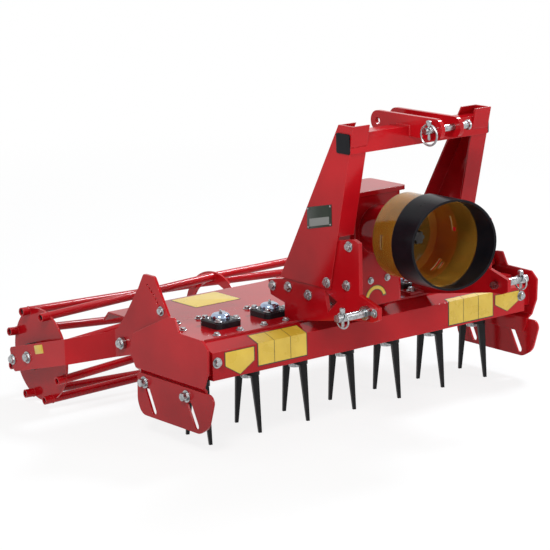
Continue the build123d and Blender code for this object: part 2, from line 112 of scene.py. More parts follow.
def turned(name, radii, heights, places, axes, finish, body, hexRows=(), sides=24):
    # a profile of radii and heights carried round each axis; rows in hexRows follow a hexagon, not a circle
    places = np.asarray(places, float).reshape(-1, 3)
    axes, across, along = squareTo(np.broadcast_to(np.asarray(axes, float), places.shape))
    angle = np.arange(sides) * 2 * np.pi / sides
    hexagon = np.cos(np.pi / 6) / np.cos(np.mod(angle, np.pi / 3) - np.pi / 6)
    spread = np.where(np.isin(np.arange(len(radii)), hexRows)[:, None], hexagon[None, :], 1.0)
    reach = (np.asarray(radii)[:, None] * spread)[None, :, :, None]
    outward = np.cos(angle)[:, None] * across[:, None, :] + np.sin(angle)[:, None] * along[:, None, :]
    lift = np.asarray(heights)[None, :, None, None] * axes[:, None, None, :]
    verts = places[:, None, None, :] + reach * outward[:, None] + lift
    return makePiece(name, verts, tubeFaces(len(places), len(radii), sides), finish, body)


def sheetPlate(name, corners, origin, right, up, thickness, finish, body):
    # a flat outline lifted off its plane in three loops: foot, shoulder and a slightly smaller face
    corners = np.asarray(corners, float)
    right, up = Vector(right).normalized(), Vector(up).normalized()
    centre = corners.mean(0)
    loops = np.stack([corners, corners, centre + (corners - centre) * pieceSet["plateFace"]])
    heights = np.array([0.0, thickness * pieceSet["plateShoulder"], thickness])
    lift = heights[:, None, None] * np.array(right.cross(up))
    verts = np.asarray(origin) + loops[..., :1] * np.array(right) + loops[..., 1:] * np.array(up) + lift
    n = len(corners)
    faces = gridFaces(3, n).tolist() + [list(range(n)), list(range(2 * n, 3 * n))]
    return makePiece(name, verts, faces, finish, body, smooth=False)


def foldedFilm(name, xLow, xHigh, path, lift, thickness, finish, body):
    # a strip across the machine whose section follows a (y, z) path, at a lift off it and with a thickness
    path = np.asarray(path, float)
    run = np.diff(path, axis=0)
    run /= np.linalg.norm(run, axis=1, keepdims=True)
    normal = np.stack([-run[:, 1], run[:, 0]], -1)
    normal = (np.concatenate([normal[:1], normal]) + np.concatenate([normal, normal[-1:]])) / 2
    loop = np.concatenate([path + normal * (lift + thickness), (path + normal * lift)[::-1]])
    n = len(loop)
    ends = np.repeat([xLow, xHigh], n)
    verts = np.column_stack([ends, np.tile(loop, (2, 1))])
    faces = gridFaces(2, n).tolist() + [list(range(n)), list(range(n, 2 * n))]
    return makePiece(name, verts, faces, finish, body, smooth=False)


def roundedBox(width, height, radius, steps=5):  # corners of a rectangle with round corners, in order
    turn = np.linspace(0, np.pi / 2, steps)[None, :] + np.arange(4)[:, None] * np.pi / 2
    middles = np.array([[1, 1], [-1, 1], [-1, -1], [1, -1]]) * [width / 2 - radius, height / 2 - radius]
    return (radius * np.stack([np.cos(turn), np.sin(turn)], -1) + middles[:, None, :]).reshape(-1, 2)


def wireRings(name, places, normals, radius, wire, finish, body, around=40, across=10):
    # a torus at each place: a small circle of the wire carried round a large circle
    places = np.asarray(places, float).reshape(-1, 3)
    normals, right, up = squareTo(np.broadcast_to(np.asarray(normals, float), places.shape))
    big = np.arange(around) * 2 * np.pi / around
    small = np.arange(across) * 2 * np.pi / across
    outward = np.cos(big)[:, None] * right[:, None, :] + np.sin(big)[:, None] * up[:, None, :]
    reach = (radius + wire * np.cos(small))[None, None, :, None] * outward[:, :, None, :]
    rise = (wire * np.sin(small))[None, None, :, None] * normals[:, None, None, :]
    verts = places[:, None, None, :] + reach + rise
    start = np.arange(len(places))[:, None, None] * around * across
    quads = (gridFaces(around, across, closeRows=True)[None] + start).reshape(-1, 4)
    return makePiece(name, verts, quads.tolist(), finish, body)


def weldBeads(name, paths, bead, ripple, finish, body, steps=60, around=8):
    # a round bead carried along each (y, z) path at its own x, swelling and shrinking in even ripples
    turn = np.arange(around) * 2 * np.pi / around
    sideways = np.array([1.0, 0.0, 0.0])
    rings = []
    for x, path in paths:
        path = np.asarray(path, float)
        gone = np.concatenate([[0.0], np.cumsum(np.linalg.norm(np.diff(path, axis=0), axis=1))])
        along = np.linspace(0.0, gone[-1], steps)
        spineY, spineZ = np.interp(along, gone, path[:, 0]), np.interp(along, gone, path[:, 1])
        spine = np.stack([np.full(steps, x), spineY, spineZ], -1)
        tangent = np.gradient(spine, axis=0)
        tangent /= np.linalg.norm(tangent, axis=1, keepdims=True)
        side = np.cross(tangent, sideways)
        swell = bead * (1 + ripple * np.sin(along * 2 * np.pi / (bead * pieceSet["beadPitch"])))
        swell[[0, -1]] *= pieceSet["beadEnd"]
        circle = np.cos(turn)[None, :, None] * sideways + np.sin(turn)[None, :, None] * side[:, None, :]
        rings.append(spine[:, None, :] + swell[:, None, None] * circle)
    return makePiece(name, np.stack(rings), tubeFaces(len(rings), steps, around), finish, body)


def onBothSides(x, rows):  # (y, z) rows on the plates at -x and +x, with the outward axis of each
    rows = np.asarray(rows, float).reshape(-1, 2)
    sign = np.repeat(bothSides, len(rows))
    rows = np.tile(rows, (2, 1))
    places = np.column_stack([sign * x, rotorY + rows[:, 0], rows[:, 1]])
    return places, np.outer(sign, [1.0, 0.0, 0.0])


def mirrored(rows):  # (x, y, z) rows and their mirror images across the machine, y from the rotor line
    rows = np.asarray(rows, float).reshape(-1, 3) + [0.0, rotorY, 0.0]
    return np.concatenate([rows, rows * [-1.0, 1.0, 1.0]])


# finishes
looks = {
    # tones, cloud scale, roughness range, grain (scale, strength, depth), metal, specular, lighter edge
    # (radius, tone) that is partly thin paint and partly a painted highlight, and how clear the finish is
    # where light goes through
    "redPaint": {
        "tones": ((0.25, 0.002, 0.005), (0.49, 0.006, 0.011)), "cloud": 2.4, "rough": (0.06, 0.18),
        "grain": (330, 0.05, 0.0005), "metal": 0.0, "specular": 0.20, "edge": (0.0018, (0.68, 0.045, 0.05)),
    },
    "blackPaint": {
        "tones": ((0.006, 0.006, 0.008), (0.014, 0.015, 0.017)), "cloud": 9, "rough": (0.20, 0.34),
        "grain": (420, 0.08, 0.0005), "metal": 0.0, "specular": 0.25, "edge": (0.0012, (0.10, 0.10, 0.11)),
    },
    "zincPlate": {
        "tones": ((0.24, 0.25, 0.26), (0.50, 0.51, 0.52)), "cloud": 120, "rough": (0.18, 0.36),
        "grain": (900, 0.10, 0.0002), "metal": 1.0, "specular": 0.5, "edge": None,
    },
    # painted reflection: the blue tint of these polished caps stands in for sky reflected in the metal
    "polishedCap": {
        "tones": ((0.26, 0.34, 0.48), (0.40, 0.49, 0.64)), "cloud": 40, "rough": (0.06, 0.14),
        "grain": (600, 0.04, 0.0002), "metal": 1.0, "specular": 0.5, "edge": None,
    },
    "blackRubber": {
        "tones": ((0.004, 0.004, 0.006), (0.008, 0.008, 0.011)), "cloud": 14, "rough": (0.24, 0.36),
        "grain": (520, 0.10, 0.0004), "metal": 0.0, "specular": 0.11, "edge": (0.0012, (0.04, 0.04, 0.045)),
    },
    "darkSteel": {
        "tones": ((0.07, 0.07, 0.075), (0.16, 0.16, 0.165)), "cloud": 40, "rough": (0.28, 0.46),
        "grain": (800, 0.15, 0.0004), "metal": 0.9, "specular": 0.5, "edge": None,
    },
    "tineBlack": {
        "tones": ((0.004, 0.004, 0.005), (0.010, 0.010, 0.011)), "cloud": 30, "rough": (0.26, 0.42),
        "grain": (500, 0.18, 0.0006), "metal": 0.0, "specular": 0.18, "edge": (0.0009, (0.05, 0.05, 0.055)),
    },
    "yellowFilm": {
        "tones": ((0.60, 0.41, 0.035), (0.69, 0.49, 0.055)), "cloud": 18, "rough": (0.22, 0.34),
        "grain": (700, 0.04, 0.0002), "metal": 0.0, "specular": 0.5, "edge": None,
    },
    "blackFilm": {
        "tones": ((0.012, 0.012, 0.010), (0.022, 0.022, 0.018)), "cloud": 18, "rough": (0.24, 0.36),
        "grain": (700, 0.04, 0.0002), "metal": 0.0, "specular": 0.5, "edge": None,
    },
    "greenFilm": {
        "tones": ((0.014, 0.022, 0.015), (0.022, 0.032, 0.022)), "cloud": 40, "rough": (0.26, 0.38),
        "grain": (700, 0.05, 0.0002), "metal": 0.0, "specular": 0.25, "edge": None,
    },
    "paleFilm": {
        "tones": ((0.15, 0.16, 0.15), (0.19, 0.20, 0.19)), "cloud": 6, "rough": (0.28, 0.38),
        "grain": (700, 0.03, 0.0002), "metal": 0.0, "specular": 0.4, "edge": None,
    },
    "amberGuard": {
        "tones": ((0.45, 0.215, 0.026), (0.62, 0.335, 0.048)), "cloud": 10, "rough": (0.06, 0.16),
        "grain": (90, 0.006, 0.0004), "metal": 0.0, "specular": 0.18, "edge": None, "clear": 0.70,
    },
}
finishSet = {
    "toneStops": (0.32, 0.68), "cloudDetail": 5, "grainDetail": 3,
    "thinPaintAndHighlightFacing": (0.99, 0.80),  # how far a rounded edge looks away where the lighter edge (thin paint and painted highlight) starts and is full
    "edgeSamples": 4,
}
materials = {}


def addNode(tree, kind, values=None):  # a new node with the named sockets set
    node = tree.nodes.new(kind)
    for socket, value in (values or {}).items():
        node.inputs[socket].default_value = value
    return node


def addSum(tree, kind, operation):  # a new node that works out one operation
    node = tree.nodes.new(kind)
    node.operation = operation
    return node


def finishFor(name, look):
    # clouds move the colour and the roughness, a fine noise gives the grain, and edges are rounded and
    # lightened, partly as thin paint and partly as a painted highlight
    made = bpy.data.materials.new(name)
    made.use_nodes = True
    tree = made.node_tree
    link = tree.links.new
    shader = tree.nodes["Principled BSDF"]
    where = addNode(tree, "ShaderNodeTexCoord")
    clouds = addNode(tree, "ShaderNodeTexNoise", {"Scale": look["cloud"], "Detail": finishSet["cloudDetail"]})
    tones = addNode(tree, "ShaderNodeValToRGB")
    for stop, place, tone in zip(tones.color_ramp.elements, finishSet["toneStops"], look["tones"]):
        stop.position = place
        stop.color = (*tone, 1)
    rough = addNode(tree, "ShaderNodeMapRange", {"To Min": look["rough"][0], "To Max": look["rough"][1]})
    grainScale, grainStrength, grainDepth = look["grain"]
    grain = addNode(tree, "ShaderNodeTexNoise", {"Scale": grainScale, "Detail": finishSet["grainDetail"]})
    bump = addNode(tree, "ShaderNodeBump", {"Strength": grainStrength, "Distance": grainDepth})
    link(where.outputs["Object"], clouds.inputs["Vector"])
    link(where.outputs["Object"], grain.inputs["Vector"])
    link(clouds.outputs["Fac"], tones.inputs["Fac"])
    link(clouds.outputs["Fac"], rough.inputs["Value"])
    link(rough.outputs["Result"], shader.inputs["Roughness"])
    link(grain.outputs["Fac"], bump.inputs["Height"])
    link(bump.outputs["Normal"], shader.inputs["Normal"])
    shader.inputs["Metallic"].default_value = look["metal"]
    shader.inputs["Specular IOR Level"].default_value = look["specular"]
    shader.inputs["Transmission Weight"].default_value = look.get("clear", 0.0)
    if look["edge"] is None:
        link(tones.outputs["Color"], shader.inputs["Base Color"])
        return made
    # painted highlight: rounded edges get a lighter tone in the colour, partly thin paint and partly the
    # highlight that edges catch
    edgeRadius, edgeTone = look["edge"]
    rounding = addNode(tree, "ShaderNodeBevel", {"Radius": edgeRadius})
    rounding.samples = finishSet["edgeSamples"]
    surface = addNode(tree, "ShaderNodeNewGeometry")
    facing = addSum(tree, "ShaderNodeVectorMath", "DOT_PRODUCT")
    thinPaintAndHighlightStart, thinPaintAndHighlightFull = finishSet["thinPaintAndHighlightFacing"]
    thinPaintAndHighlight = addNode(tree, "ShaderNodeMapRange", {"From Min": thinPaintAndHighlightStart, "From Max": thinPaintAndHighlightFull})
    blend = addNode(tree, "ShaderNodeMix")
    blend.data_type = "RGBA"
    blend.inputs["B"].default_value = (*edgeTone, 1)
    link(rounding.outputs["Normal"], bump.inputs["Normal"])
    link(rounding.outputs["Normal"], facing.inputs[0])
    link(surface.outputs["Normal"], facing.inputs[1])
    link(facing.outputs["Value"], thinPaintAndHighlight.inputs["Value"])
    link(thinPaintAndHighlight.outputs["Result"], blend.inputs["Factor"])
    link(tones.outputs["Color"], blend.inputs["A"])
    link(blend.outputs["Result"], shader.inputs["Base Color"])
    return made


for name, look in looks.items():
    materials[name] = finishFor(name, look)

nodeFinish = {
    "bearing_housings": "blackPaint", "bearing_caps": "polishedCap", "pivot_pins": "zincPlate",
    "crossbar_plugs": "blackRubber", "top_link_pin": "zincPlate", "hitch_pins": "zincPlate",
    "pto_guard": "amberGuard", "pto_collar": "blackRubber", "pto_shaft": "darkSteel",
    "roller_bearings": "blackPaint", "rotor_": "tineBlack", "tines_": "tineBlack",
}
for nodeName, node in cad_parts.items():
    finish = nodeFinish.get(nodeName) or nodeFinish.get(nodeName.rstrip("0123456789"), "redPaint")
    node.data.materials.clear()
    node.data.materials.append(materials[finish])
print("finishes:", len(materials))

# hexagon bolts with washers, all shares of half the width across flats
boltShape = {
    "radii": (1.60, 1.60, 1.52, 1.155, 1.155, 0.98, 0.90),  # washer, then head
    "heights": (0.0, 0.20, 0.26, 0.26, 0.92, 1.06, 1.06),
    "hexRows": (3, 4),
    "headTop": 4,  # first row of the head's top
}


def bolts(name, places, axes, size, body, tall=1.0):
    # the bolt's profile times its size, with the head's top drawn out by tall
    radii = np.array(boltShape["radii"]) * size
    heights = np.array(boltShape["heights"]) * size
    heights[boltShape["headTop"]:] *= tall
    return turned(name, radii, heights, places, axes, "zincPlate", body, boltShape["hexRows"])


coverBolts = {
    # x and y of the bolts on one half of the trough's cover
    "rows": (
        (0.128, -0.049), (0.266, -0.080), (0.345, -0.080), (0.430, -0.082), (0.512, -0.084),
        (0.173, 0.101), (0.262, 0.104), (0.350, 0.104), (0.435, 0.104), (0.512, 0.100), (0.546, 0.026),
    ),
    "size": 0.0072,
}
coverRows = [(x, y, coverHigh.z) for x, y in coverBolts["rows"]]
bolts("coverBolts", mirrored(coverRows), (0, 0, 1), coverBolts["size"], "frame")

# four bolts on each bearing housing and a grease nipple on each cap
housingBolts = {
    "steps": (-2.5, -1.5, 1.5, 2.5),  # places of the housings in rotor steps
    "spread": 0.031, "size": 0.0076,
    "nipple": 0.0034,
    "nippleRadii": (1.5, 1.5, 0.9, 0.8, 1.05, 0.9, 0.4),
    "nippleHeights": (-0.3, 1.0, 1.1, 1.7, 2.2, 2.7, 2.9),
}
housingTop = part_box("bearing_housings")[1].z
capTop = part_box("bearing_caps")[1].z
housingX = np.array(housingBolts["steps"]) * rotorPitch
housings = len(housingX)
cornerX, cornerY = (c.ravel() for c in np.meshgrid(*[bothSides * housingBolts["spread"]] * 2))
boltX = (housingX[:, None] + cornerX).ravel()
boltY = np.tile(rotorY + cornerY, housings)
housingPlaces = np.column_stack([boltX, boltY, np.full(len(boltX), housingTop)])
bolts("housingBolts", housingPlaces, (0, 0, 1), housingBolts["size"], "frame")
nippleRadii = np.array(housingBolts["nippleRadii"]) * housingBolts["nipple"]
nippleHeights = np.array(housingBolts["nippleHeights"]) * housingBolts["nipple"]
nipplePlaces = np.column_stack([housingX, np.full(housings, rotorY), np.full(housings, capTop)])
turned("capNipples", nippleRadii, nippleHeights, nipplePlaces, (0, 0, 1),
       "zincPlate", "frame", (0, 1))

hitchBolts = {
    "bracket": ((0.002, 0.397), (-0.069, 0.405), (-0.157, 0.396), (-0.323, 0.450), (-0.335, 0.560)),
    "eye": (-0.437, 0.392),
    "web": (-0.246, 0.447),
    "foot": (0.209, -0.075, 0.322),
    "size": 0.0092, "eyeSize": 0.0075,
}
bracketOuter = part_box("hitch_bracket_right")[1].x
bolts("bracketBolts", *onBothSides(bracketOuter, hitchBolts["bracket"]), hitchBolts["size"], "frame")
bolts("eyeBolts", *onBothSides(bracketOuter, hitchBolts["eye"]), hitchBolts["eyeSize"], "frame")
bolts("webBolts", *onBothSides(postOuter, hitchBolts["web"]), hitchBolts["size"], "frame")
bolts("footBolts", mirrored(hitchBolts["foot"]), (0, 0, 1), hitchBolts["size"], "frame")

endBolts = {
    "shield": ((0.124, 0.158), (-0.074, 0.158)), "shieldSize": 0.0108, "shieldTall": 1.5,
    "depth": (0.0405, 0.3757),  # in the end hole of the sector's arc, beside the plate's sloping edge
    "depthSize": 0.0085, "sectorOuter": 0.608,
    "pivot": (0.229, 0.251), "pivotSize": 0.0105,
    "troughFront": (0.571, 0.261), "troughFrontSize": 0.0095,  # x and z on the trough's front face
}
bolts("shieldBolts", *onBothSides(shieldOuter, endBolts["shield"]), endBolts["shieldSize"], "frame",
      tall=endBolts["shieldTall"])
bolts("depthBolts", *onBothSides(endBolts["sectorOuter"], endBolts["depth"]), endBolts["depthSize"], "frame")
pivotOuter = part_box("pivot_pins")[1].x
bolts("pivotBolts", *onBothSides(pivotOuter, endBolts["pivot"]), endBolts["pivotSize"], "frame")
frontX, frontZ = endBolts["troughFront"]
frontRow = (frontX, troughLow.y - rotorY, frontZ)
bolts("troughFrontBolts", mirrored(frontRow), (0, -1, 0), endBolts["troughFrontSize"], "frame")

apronBolts = {"x": (0.09, 0.27, 0.45), "z": 0.292, "apronThick": 0.004, "size": 0.0075}
apronBack = troughHigh.y - rotorY + apronBolts["apronThick"]
apronRows = [(x, apronBack, apronBolts["z"]) for x in apronBolts["x"]]
bolts("apronBolts", mirrored(apronRows), (0, 1, 0), apronBolts["size"], "frame")

boxBolts = {
    "front": (0.031, 0.405), "frontSize": 0.0065, "coverRim": 0.009,  # the lid stands this far past the case
    "flangeX": 0.106, "flangeY": (-0.080, 0.0, 0.080), "flangeThick": 0.018, "flangeSize": 0.0062,
}
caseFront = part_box("gearbox_cover")[0].y + boxBolts["coverRim"] - rotorY
flangeTop = coverHigh.z + boxBolts["flangeThick"]
caseX, caseZ = boxBolts["front"]
bolts("caseBolts", mirrored((caseX, caseFront, caseZ)), (0, -1, 0), boxBolts["frontSize"], "frame")
flangeRows = [(boxBolts["flangeX"], y, flangeTop) for y in boxBolts["flangeY"]]
bolts("flangeBolts", mirrored(flangeRows), (0, 0, 1), boxBolts["flangeSize"], "frame")

armBolts = {"back": 0.086, "axleSize": 0.0112, "endSize": 0.0100}
axleRow = (rollerY - rotorY, rollerZ)
endRow = np.add(axleRow, np.multiply(armSlope, armBolts["back"]))
bolts("axleNuts", *onBothSides(armOuter, axleRow), armBolts["axleSize"], "roller")
bolts("armEndBolts", *onBothSides(armOuter, endRow), armBolts["endSize"], "roller_frame")

rotorNuts = {
    "count": 7, "top": 0.166,
    "radii": (0.0205, 0.0205, 0.0175, 0.012), "heights": (0.0, 0.0150, 0.0175, 0.0175),
}
for number in range(1, rotorNuts["count"] + 1):
    nutX = (number - (rotorNuts["count"] + 1) / 2) * rotorPitch
    turned(f"rotorNut{number}", rotorNuts["radii"], rotorNuts["heights"], (nutX, rotorY, rotorNuts["top"]),
           (0, 0, -1), "zincPlate", f"spindle_{number}", (0, 1))
print("bolts and nuts placed")

# end shields: plates with round corners and two slanted slots each
endShield = {
    # reach in front of the rotor line, height and corner radius of each corner
    "corners": (
        (0.131, 0.062, 0.040), (0.172, 0.086, 0.048), (0.198, 0.164, 0.020), (0.186, 0.182, 0.020),
        (-0.157, 0.182, 0.008), (-0.161, 0.099, 0.056), (-0.143, 0.062, 0.034),
    ),
    "slots": (((0.086, 0.140), (0.117, 0.082)), ((-0.110, 0.140), (-0.081, 0.082))),
    "slotHalf": 0.010,
    "thick": 0.006,
}


def roundedOutline(corners, radii, steps=8):  # each corner becomes an arc that touches both its edges
    toBack, toNext = (np.roll(corners, shift, axis=0) - corners for shift in (1, -1))
    toBack /= np.linalg.norm(toBack, axis=1, keepdims=True)
    toNext /= np.linalg.norm(toNext, axis=1, keepdims=True)
    half = np.arccos((toBack * toNext).sum(1)) / 2
    middle = toBack + toNext
    middle *= (radii / np.sin(half) / np.linalg.norm(middle, axis=1))[:, None]
    reach = (radii / np.tan(half))[:, None]
    share = np.linspace(0.0, 1.0, steps)[None, :, None]
    spokes = (toBack * reach - middle)[:, None] * (1 - share) + (toNext * reach - middle)[:, None] * share
    spokes *= radii[:, None, None] / np.linalg.norm(spokes, axis=2, keepdims=True)
    return ((corners + middle)[:, None] + spokes).reshape(-1, 2)


def slotOutline(first, last, half, steps=10):  # two half circles joined by straight sides
    run = math.atan2(last[1] - first[1], last[0] - first[0])
    turn = run + np.linspace(-np.pi / 2, np.pi / 2, steps)
    bow = half * np.column_stack([np.cos(turn), np.sin(turn)])
    return np.concatenate([last + bow, first - bow])


def slottedPlate(name, loops, x, thick, finish, body):
    # the outline and its slots filled as one flat face, set twice a thickness apart and joined by walls
    flat = np.concatenate(loops)
    n = len(flat)
    sheet = np.column_stack([np.zeros(n), rotorY - flat[:, 0], flat[:, 1]])
    verts = np.concatenate([sheet + [x, 0.0, 0.0], sheet + [x + thick, 0.0, 0.0]])
    cap = np.array(tessellate_polygon([[Vector((*p, 0.0)) for p in loop] for loop in loops]))
    starts = np.cumsum([0] + [len(loop) for loop in loops])
    here = np.arange(n)
    beside = np.concatenate([np.roll(here[a:b], -1) for a, b in zip(starts[:-1], starts[1:])])
    walls = np.stack([here, beside, beside + n, here + n], -1)
    faces = cap.tolist() + (cap + n).tolist() + walls.tolist()
    return makePiece(name, verts, faces, finish, body)


shieldCorners = np.array(endShield["corners"])
shieldLoops = [roundedOutline(shieldCorners[:, :2], shieldCorners[:, 2])]
shieldLoops += [slotOutline(*np.array(ends), endShield["slotHalf"]) for ends in endShield["slots"]]
for side, sign in (("Left", -1), ("Right", 1)):
    plate = slottedPlate(f"endShield{side}", shieldLoops, sign * shieldOuter, -sign * endShield["thick"],
                         "redPaint", "frame")
    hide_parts(f"side_shield_{side.lower()}")
print("end shields cut")

# linch pins: an upright pin through the end of a hitch pin, with a wire ring round it
linchPins = {
    # pin's places, half length, ring radius, wire, drop of the ring
    "topLinch": (((-0.061, -0.455, 0.868),), 0.026, 0.028, 0.0030, 0.012),
    "lowerLinch": (((-0.331, -0.405, 0.389), (0.331, -0.405, 0.389)), 0.026, 0.021, 0.0024, 0.008),
}
linchShape = {
    "radii": (0.0020, 0.0042, 0.0042, 0.0070, 0.0082, 0.0070, 0.0030),
    "aboveFoot": (0.0, 0.004), "fromTop": (-0.013, -0.012, -0.006, 0.0, 0.002),
    "ringAxis": (1.0, 0.12, 0.0),
}
for name, (rows, halfLength, ringRadius, wire, drop) in linchPins.items():
    places = np.array(rows) + [0.0, rotorY, 0.0]
    footHeights = np.array(linchShape["aboveFoot"]) - halfLength
    topHeights = np.array(linchShape["fromTop"]) + halfLength
    heights = np.concatenate([footHeights, topHeights])
    turned(f"{name}Body", linchShape["radii"], heights, places, (0, 0, 1), "zincPlate", "frame")
    wireRings(f"{name}Ring", places - [0.0, 0.0, drop], linchShape["ringAxis"], ringRadius, wire,
              "zincPlate", "frame")

topPin = {
    "place": (-0.455, 0.868),
    "radii": (0.010, 0.0135, 0.0140, 0.0125), "heights": (-0.002, 0.0, 0.005, 0.007),
}
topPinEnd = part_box("top_link_pin")[1].x
topPinY, topPinZ = topPin["place"]
turned("topPinHead", topPin["radii"], topPin["heights"], (topPinEnd, rotorY + topPinY, topPinZ), (1, 0, 0),
       "zincPlate", "frame")
print("linch pins placed")

# weld beads where the ears sit on the crossbar, and round the roller's bars
earWelds = {"x": (-0.040, -0.028, 0.028, 0.040), "low": 0.840, "bead": 0.0032, "ripple": 0.16}
barLow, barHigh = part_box("crossbar")
earPath = [
    (barLow.y, earWelds["low"]), (barLow.y, barHigh.z), (barHigh.y, barHigh.z), (barHigh.y, earWelds["low"]),
]
weldBeads("earWelds", [(x, earPath) for x in earWelds["x"]], earWelds["bead"], earWelds["ripple"],
          "redPaint", "frame")

barWelds = {
    "bars": 8, "circle": 0.1355, "twist": 22.5,  # the bars' circle, and degrees from middle ring to disc
    "end": 0.672, "disc": 0.645,  # x of the bars' ends and of the discs' outer faces
    "bar": 0.0125, "bead": 0.0015,
}
rollerCentre = [0.0, rollerY, rollerZ]


def barCircle(angles, x):  # a point for each bar on its circle round the roller's line
    circle = barWelds["circle"]
    return np.column_stack([np.full(len(angles), x), np.cos(angles) * circle, np.sin(angles) * circle])


spot = np.radians(np.arange(barWelds["bars"]) * 360 / barWelds["bars"])
weldPlaces, weldRuns, barEnds = [], [], []
for sign in bothSides:
    inner = barCircle(spot, 0.0)
    outer = barCircle(spot - sign * math.radians(barWelds["twist"]), sign * barWelds["end"])
    share = barWelds["disc"] / barWelds["end"]
    weldPlaces.append(inner + (outer - inner) * share + rollerCentre)
    weldRuns.append(outer - inner)
    barEnds.append(outer + rollerCentre)
wireRings("barWelds", np.concatenate(weldPlaces), np.concatenate(weldRuns), barWelds["bar"], barWelds["bead"],
          "redPaint", "roller", around=24, across=8)

barShade = {"radii": (0.0088, 0.0088), "heights": (-0.012, -0.006)}  # painted shade: a black disc just inside each open bar end stands in for the shade in the hollow
turned("barShade", barShade["radii"], barShade["heights"], np.concatenate(barEnds), np.concatenate(weldRuns),
       "blackPaint", "roller")
print("weld beads laid")

# clear guard cup with its slots cut through the wall
guardCup = {
    "wall": 0.004, "bore": 0.044, "stations": 60, "around": 180,
    # slots: first and last angle in degrees, first and last distance from the back
    "slots": ((170, 190, 0.030, 0.040), (3, 25, 0.066, 0.072), (3, 8, 0.072, 0.083),
              (298, 320, 0.042, 0.051), (304, 316, 0.059, 0.067)),
}
guardLow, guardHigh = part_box("pto_guard")
guardZ = (guardLow.z + guardHigh.z) / 2
wall, stations, turns = guardCup["wall"], guardCup["stations"], guardCup["around"]
# one closed loop of rings: outside from back to mouth, inside to the back again, and the bore
back = np.linspace(0.0, guardHigh.y - guardLow.y, stations + 1)
innerBack = np.maximum(back, wall)
outerRadii = np.full(stations + 1, guardHigh.x)
ringRadii = np.concatenate([outerRadii, outerRadii - wall, [guardCup["bore"]] * 2])
ringY = guardHigh.y - np.concatenate([back, innerBack[::-1], [wall, 0.0]])
rings = len(ringRadii)
angle = np.arange(turns) * 2 * np.pi / turns
cupVerts = np.stack([
    ringRadii[:, None] * np.cos(angle), np.broadcast_to(ringY[:, None], (rings, turns)),
    guardZ + ringRadii[:, None] * np.sin(angle),
], -1)
# cells of the wall that lie in a slot are left out, outside and inside alike
cellBack = (back[:-1] + back[1:])[:, None] / 2
cellTurn = np.degrees(angle + np.pi / turns)[None, :]
cut = np.zeros((stations, turns), bool)
for fromTurn, toTurn, fromBack, toBack in guardCup["slots"]:
    cut |= (cellTurn > fromTurn) & (cellTurn < toTurn) & (cellBack > fromBack) & (cellBack < toBack)
cells = gridFaces(rings, turns, closeRows=True).reshape(rings, turns, 4)
kept = np.ones((rings, turns), bool)
kept[:stations] = ~cut
kept[stations + 1:2 * stations + 1] = ~cut[::-1]
# slot walls that run along the cup, then those that run round it
station, turnAt = np.nonzero(cut != np.roll(cut, 1, axis=1))
inside = 2 * stations - station
longWalls = np.stack([station, station + 1, inside, inside + 1], -1) * turns + turnAt[:, None]
step, spotAt = np.nonzero(cut[1:] != cut[:-1])
inside = 2 * stations - step
beside = (spotAt + 1) % turns
roundRows = np.stack([step + 1, step + 1, inside, inside], -1) * turns
roundWalls = roundRows + np.stack([spotAt, beside, beside, spotAt], -1)
cupFaces = np.concatenate([cells[kept], longWalls, roundWalls]).tolist()
guard = makePiece("guardCup", cupVerts, cupFaces, "amberGuard", "frame")
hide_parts("pto_guard")
print("guard cut")

# blank stickers: yellow panels on a dark backing
film = {"backing": 0.0005, "panel": 0.0005, "rim": 0.003, "gap": 0.002, "facetZ": 0.290}


def facetPath(low, share, trim):  # up the trough's front face and over its facet, shortened at both ends
    bend = np.array([troughLow.y, film["facetZ"]])
    far = np.array([coverLow.y, troughHigh.z])
    reach = share - trim / np.linalg.norm(far - bend)
    return [(troughLow.y, low + trim), bend, bend + (far - bend) * reach]


foldedStickers = {
    # first and last x, low edge, share of the facet covered, number of panels
    "stickerLeft": (-0.433, -0.257, 0.225, 0.80, 3),
    "stickerRight": (0.275, 0.457, 0.217, 0.30, 3),
}
for name, (first, last, low, share, panels) in foldedStickers.items():
    foldedFilm(f"{name}Back", first, last, facetPath(low, share, 0.0), 0.0, film["backing"],
               "blackFilm", "frame")
    width = (last - first - 2 * film["rim"] + film["gap"]) / panels
    for k in range(panels):
        start = first + film["rim"] + k * width
        foldedFilm(f"{name}Panel{k + 1}", start, start + width - film["gap"],
                   facetPath(low, share, film["rim"]), film["backing"], film["panel"],
                   "yellowFilm", "frame")


def pointedOutline(width, top, shoulder, point):  # flat top, upright sides and a point below
    half = width / 2
    return np.array([(-half, top), (-half, shoulder), (0.0, point), (half, shoulder), (half, top)])


def stackedSticker(name, outline, origin, right, up):  # a dark backing and a smaller yellow panel on it
    outline = np.asarray(outline, float)
    centre = outline.mean(0)
    inner = centre + (outline - centre) * (1 - 2 * film["rim"] / np.ptp(outline, axis=0).max())
    normal = np.array(Vector(right).cross(Vector(up)))
    sheetPlate(f"{name}Back", outline, origin, right, up, film["backing"],
               "blackFilm", "frame")
    raised = np.asarray(origin) + normal * film["backing"]
    sheetPlate(f"{name}Panel", inner, raised, right, up, film["panel"], "yellowFilm", "frame")


pointedStickers = {
    # centre x, width, top, shoulder and point heights
    "stickerLeftEnd": (-0.494, 0.104, 0.286, 0.246, 0.214),
    "stickerRightEnd": (0.514, 0.104, 0.280, 0.250, 0.222),
}
for name, (x, *shape) in pointedStickers.items():
    stackedSticker(name, pointedOutline(*shape), (x, troughLow.y, 0.0), (1, 0, 0), (0, 0, 1))

apronSticker = {"centre": (-0.265, 0.298), "size": (0.166, 0.128), "corner": 0.006}
apronX, apronY = apronSticker["centre"]
apronOutline = roundedBox(*apronSticker["size"], apronSticker["corner"])
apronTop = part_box("rear_apron")[1].z
stackedSticker("apronSticker", apronOutline, (apronX, rotorY + apronY, apronTop), (1, 0, 0), (0, 1, 0))

